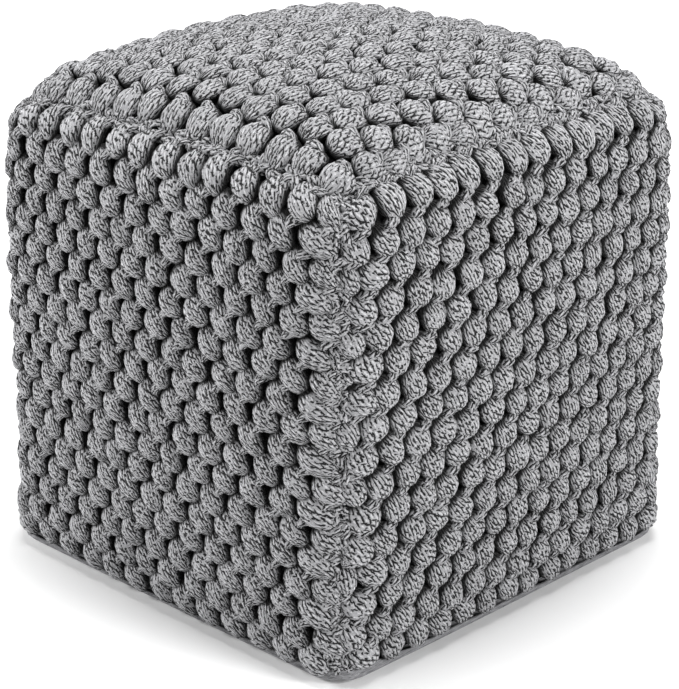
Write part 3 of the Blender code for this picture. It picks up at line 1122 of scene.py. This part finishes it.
@dataclass(frozen=True)
class SeamStitches:
    """Crinkled stitches of yarn, slanted both ways and crossing, that close the seams.

    The seam at the foot has none, because the base cloth's rim shows there instead.
    """

    node: str = "filled_body"
    spacing: float = 6.5 * MM      # from one group of stitches to the next
    length: float = 13.0 * MM
    thickness: float = 7.5 * MM
    slant: float = 38.0            # degrees from the seam's line
    places: tuple[float, ...] = (-3.5 * MM, 3.5 * MM)   # of a group's stitches across the seam
    height: float = 5.5 * MM       # middle of a stitch over the ground
    aside_drop: float = 0.15       # and lower by this share of its distance from the line
    sizes: tuple[float, float] = (0.88, 1.12)
    turn_spread: float = 22.0      # usual differences between stitches: degrees of slant,
    along_spread: float = 1.2 * MM   # along the seam,
    stray: float = 0.8 * MM        # and aside or outwards
    bend: float = 0.8 * MM         # how far a stitch's ends lie under its middle
    open: float = 0.8              # how far the yarn's cracks open
    strands: float = 1.2           # strands from a stitch's middle to its edge
    samples: int = 400             # points at which a seam is measured
    form: PoufForm = PoufForm()

    def lines(self) -> list[tuple[np.ndarray, np.ndarray]]:
        """Find the seams that are stitched.

        Returns:
            Pairs of cube points: the uprights and the top.
        """
        foot = float(self.form.upright().cube(np.array([0.0]))[0])
        corners = [np.array(c, float) for c in ((-1, -1), (1, -1), (1, 1), (-1, 1))]
        lines = [(np.append(c, foot), np.append(c, 1.0)) for c in corners]
        for start, end in zip(corners, corners[1:] + corners[:1]):
            lines.append((np.append(start, 1.0), np.append(end, 1.0)))
        return lines

    def along(self, start: np.ndarray, end: np.ndarray) -> tuple[np.ndarray, ...]:
        """Walk a seam in even steps.

        Args:
            start: Cube point at its start.
            end: Cube point at its end.

        Returns:
            The places, the directions along the seam and the outward directions.
        """
        share = np.linspace(0, 1, self.samples)[:, None]
        points, outward = self.form.ground(start + (end - start) * share)
        step = np.linalg.norm(np.diff(points, axis=0), axis=1)
        walked = np.concatenate(([0], np.cumsum(step)))
        marks = np.arange(self.spacing / 2, walked[-1], self.spacing)
        place = np.column_stack([np.interp(marks, walked, column) for column in points.T])
        out = np.column_stack([np.interp(marks, walked, column) for column in outward.T])
        ahead = np.gradient(place, axis=0)
        ahead /= np.linalg.norm(ahead, axis=1, keepdims=True)
        out -= ahead * (out * ahead).sum(1, keepdims=True)
        return place, ahead, out / np.linalg.norm(out, axis=1, keepdims=True)

    def build(self) -> bpy.types.Object:
        """Model one stitch and lay copies of it along the seams.

        Returns:
            The joined stitches.
        """
        deselect()
        bpy.ops.mesh.primitive_uv_sphere_add(
            segments=8, ring_count=5, radius=1.0, rotation=(0, math.radians(90), 0)
        )
        source = added("stitch")
        unit = coordinates(source)
        chance = np.random.default_rng(3)
        batches = []
        for start, end in self.lines():
            place, ahead, out = self.along(start, end)
            aside = np.cross(out, ahead)
            for middle_aside in self.places:
                hand = chance.choice((-1, 1), (len(place), 1))
                spread = chance.normal(0, self.turn_spread, (len(place), 1))
                turn = np.radians(self.slant + spread) * hand
                along = ahead * np.cos(turn) + aside * np.sin(turn)
                over = np.cross(along, out)
                size = chance.uniform(*self.sizes, (len(place), 1, 1))
                rise = self.height - abs(middle_aside) * self.aside_drop
                rise = rise + chance.normal(0, self.stray, (len(place), 1))
                middle = place + aside * middle_aside + out * rise
                middle += ahead * chance.normal(0, self.along_spread, (len(place), 1))
                middle += aside * chance.normal(0, self.stray, (len(place), 1))
                bend = unit[:, 2] * self.thickness / 2 - unit[:, 0] ** 2 * self.bend
                batches.append(
                    middle[:, None]
                    + size * along[:, None] * unit[None, :, :1] * self.length / 2
                    + size * over[:, None] * unit[None, :, 1:2] * self.thickness / 2
                    + size * out[:, None] * bend[None, :, None]
                )
        points = np.concatenate(batches)
        stitches = copies_as_one("seam_stitches", source, points)
        count = len(points)
        set_attributes(
            stitches,
            strand=np.tile(unit[:, 1] * self.strands, count),
            lift=np.full(count * len(unit), BUD_HEIGHT),
            cracked=np.full(count * len(unit), self.open),
            along=np.tile(unit[:, 0] * self.length / 2, count),
            chance=np.repeat(chance.random(count), len(unit)),
        )
        face_outwards(stitches)
        return stitches

    def dress(self, yarn: bpy.types.Material) -> None:
        """Build the stitches and tie them to the frame."""
        finish_piece(self.build(), yarn, "bud_knit", self.node)


# The base


@dataclass(frozen=True)
class BaseCloth:
    """The base cloth: flat underneath, turned up round the foot, in folds at the near corner."""

    name = "base_cloth"
    node: str = "base_panel"
    cuts: int = 31
    rim_rows: int = 6
    corner: tuple[int, int] = (1, -1)
    corner_rise: float = 7.0 * MM      # the rim stands this much higher at that corner
    corner_reach: float = 0.16         # and does so over this share of each side
    lip: float = 1.6 * MM              # how much further a fold stands out at that corner
    plain_lip: float = 0.35            # how far it stands out all round, as a share of that
    ripple: float = 0.4                # how uneven the folds are, as a share
    ripples: tuple[float, float] = (9, 7)   # and in what waves, in radians to half a side
    swell: float = 6.5 * MM            # how far the rim stands out of the foot
    draw_in: tuple[float, float] = (0.25, 0.3)   # less, at its upper edge and at that corner
    flat: float = 0.88                 # share of the half width that lies flat
    form: PoufForm = PoufForm()

    def build(self) -> bpy.types.Object:
        """Model the cloth from the lower part of a cube, laid on the form.

        Returns:
            The cloth.
        """
        deselect()
        bpy.ops.mesh.primitive_cube_add(size=2)
        cloth = added(self.name)
        bpy.ops.object.mode_set(mode="EDIT")
        bpy.ops.mesh.subdivide(number_cuts=self.cuts)
        bpy.ops.object.mode_set(mode="OBJECT")
        step = 2 / (self.cuts + 1)
        delete_points(cloth, coordinates(cloth)[:, 2] > -1 + (self.rim_rows + 0.5) * step)

        cube = coordinates(cloth)
        level = (cube[:, 2] + 1) / step / self.rim_rows
        run = self.form.upright()
        away = np.maximum(1 - self.corner[0] * cube[:, 0], 1 - self.corner[1] * cube[:, 1])
        near = np.exp(-((away / 2 / self.corner_reach) ** 2))
        rise = RIM_RISE - GAP + self.corner_rise * near
        edge = -half_cloth(run.half, run.low_radius)
        share = (edge + level * rise - run.low) / run.length
        cube[:, 2] = np.where(level > 0, run.cube(share), -1.0)
        folds = np.sin(math.pi * level * 2) ** 2 * self.lip * (self.plain_lip + near)
        x_waves, y_waves = self.ripples
        folds *= 1 + self.ripple * np.sin(cube[:, 0] * x_waves) * np.cos(cube[:, 1] * y_waves)
        out_to = np.clip((np.abs(cube[:, :2]).max(axis=1) - self.flat) / (1 - self.flat), 0, 1)
        at_edge, at_corner = self.draw_in
        swell = out_to * self.swell * (1 - at_edge * level - at_corner * near)
        points = self.form.offset(cube, folds + swell)
        points[:, 2] = np.maximum(points[:, 2], 0.0)
        move_points(cloth, points)
        face_outwards(cloth)
        apply_modifier(cloth, "SOLIDIFY", thickness=CLOTH, offset=-1.0)
        return cloth

    def dress(self, canvas: bpy.types.Material) -> None:
        """Build the cloth and tie it to the frame.

        Args:
            canvas: Its material.
        """
        cloth = finish_piece(self.build(), canvas, "base_cloth", self.node)


# Studio


@dataclass(frozen=True)
class Studio:
    """A white floor, soft light and the camera."""

    azimuth: float = 44.61
    elevation: float = 20.28
    distance: float = 1.752
    aim_right: float = 1.3 * MM
    aim_height: float = 0.1697
    focal_pixels: float = 2135.2
    long_side_pixels: float = 689.0
    sensor: float = 36.0
    floor_size: float = 80.0
    floor_grey: float = 0.86
    glow: tuple[float, ...] = (0.3, 1.4, 0.34, 0.8)   # the floor's own light from near to far
    painted_shadow_reach: tuple[float, float] = (0.19, 0.36)   # the floor's own glow, painted light, fades in over these distances; nearer the foot it is gone, which paints the contact shadow darker
    # Each square light: name, place, size in metres, power in watts
    lights: tuple[tuple[str, tuple[float, float, float], float, float], ...] = (
        ("overhead", (0.0, 0.2, 2.4), 1.5, 56),
        ("left_softbox", (-2.1, -1.9, 1.5), 0.9, 84),
        ("right_softbox", (2.7, 0.5, 1.5), 0.9, 63),
    )
    lit_height: float = 0.2  # the lights point at this height
    room_light: float = 0.12

    def build_floor(self) -> None:
        """Lay the floor."""
        deselect()
        bpy.ops.mesh.primitive_plane_add(size=self.floor_size)
        floor = added("floor")
        material, add = blank_material("white_studio_floor")
        place = add("TexCoord", output="Object")
        away = add("VectorMath", place, output="Value", operation="LENGTH")
        glow = add("MapRange", away, *self.glow)
        # Painted contact shadow: the floor's glow fades out towards the pouf
        clear = add("MapRange", away, *self.painted_shadow_reach, 0.0, 1.0, interpolation_type="SMOOTHSTEP")
        finish = {
            "Base Color": (*(self.floor_grey,) * 3, 1.0),
            "Roughness": 0.9,
            "Specular IOR Level": 0.1,
            "Emission Color": (1.0, 1.0, 1.0, 1.0),
            "Emission Strength": add("Math", glow, clear, operation="MULTIPLY"),
        }
        add("OutputMaterial", add("BsdfPrincipled", inputs=finish))
        floor.data.materials.append(material)

    def build_lights(self) -> None:
        """Hang the lights, pointed at the middle of the pouf, and light the room a little."""
        for name, place, size, power in self.lights:
            deselect()
            bpy.ops.object.light_add(type="AREA", location=place)
            light = bpy.context.object
            light.name = name
            light.data.size = size
            light.data.energy = power
            towards = Vector((0, 0, self.lit_height)) - Vector(place)
            light.rotation_euler = towards.to_track_quat("-Z", "Y").to_euler()
        world = bpy.data.worlds.new("white_room")
        world.use_nodes = True
        background = world.node_tree.nodes["Background"]
        background.inputs[0].default_value = (1, 1, 1, 1)
        background.inputs[1].default_value = self.room_light
        bpy.context.scene.world = world
        bpy.context.scene.view_settings.view_transform = "Standard"

    def build_camera(self) -> None:
        """Stand the camera where the photograph was taken from."""
        a, e = math.radians(self.azimuth), math.radians(self.elevation)
        back = Vector((math.sin(a) * math.cos(e), -math.cos(a) * math.cos(e), math.sin(e)))
        right = Vector((math.cos(a), math.sin(a), 0))
        aim = right * self.aim_right + Vector((0, 0, self.aim_height))
        bpy.ops.object.camera_add(location=aim + back * self.distance)
        camera = bpy.context.object
        camera.rotation_euler = (-back).to_track_quat("-Z", "Y").to_euler()
        camera.data.sensor_width = self.sensor
        camera.data.lens = self.focal_pixels / self.long_side_pixels * self.sensor
        bpy.context.scene.camera = camera

    def build(self) -> None:
        """Set up the floor, the lights and the camera."""
        self.build_floor()
        self.build_lights()
        self.build_camera()


TOP_BUD = Bud(length=28.5 * MM, width=28.5 * MM, dive=(0.1, 0.4), taper=(-0.05, 0.15))
FRONT_BUD = Bud(length=31.5 * MM, width=24.0 * MM, dive=(0.46, 0.0), taper=(0.1, 0.3))
RIGHT_BUD = Bud(length=30.0 * MM, width=25.0 * MM, taper=(0.0, 0.2))
ROPE = Bud(
    length=21 * MM,
    width=8.5 * MM,
    height=10.5 * MM,
    belly=4.5 * MM,
    segments=10,
    rings=6,
    open_angle=112.0,
    dive=(0.45, 0.45),
    groove=0.3 * MM,
    bow=4.0 * MM,
    lightness=0.7 * MM,
)

PANELS = (
    KnitPanel(
        Side.TOP,
        columns=13,
        rows=15,
        stagger=0.35,
        tilt=80,
        slope=0.0,
        bud=TOP_BUD,
        droop=1 * MM,
        # less painted shade on the top, which the light falls on
        lightness=0.7 * MM,
        # the top's cracks close further, as more light falls on it
        lit_tip_closing=0.6,
        overhang=1 * MM,
    ),
    KnitPanel(Side.FRONT, columns=13, rows=18, stagger=0.5, tilt=-48, slope=8 * MM, bud=FRONT_BUD),
    KnitPanel(Side.RIGHT, columns=14, rows=16, stagger=0.4, tilt=-68, slope=-4 * MM, bud=RIGHT_BUD),
    KnitPanel(Side.BACK, columns=13, rows=18, stagger=0.5, tilt=-48, slope=4 * MM, bud=FRONT_BUD),
    KnitPanel(Side.LEFT, columns=14, rows=16, stagger=0.4, tilt=-68, slope=4 * MM, bud=RIGHT_BUD),
)


def main() -> None:
    """Build the pouf and the studio."""
    logging.basicConfig(level=logging.INFO, format="%(name)s: %(message)s")
    yarn, knit, canvas = CottonYarn().material(), TightKnit().material(), BaseCanvas().material()
    StuffedBody().dress(knit)
    for panel in PANELS:
        panel.dress(yarn, knit)
    SeamStitches().dress(yarn)
    BaseCloth().dress(canvas)
    Studio().build()
    deselect()


if __name__ == "__main__":
    main()
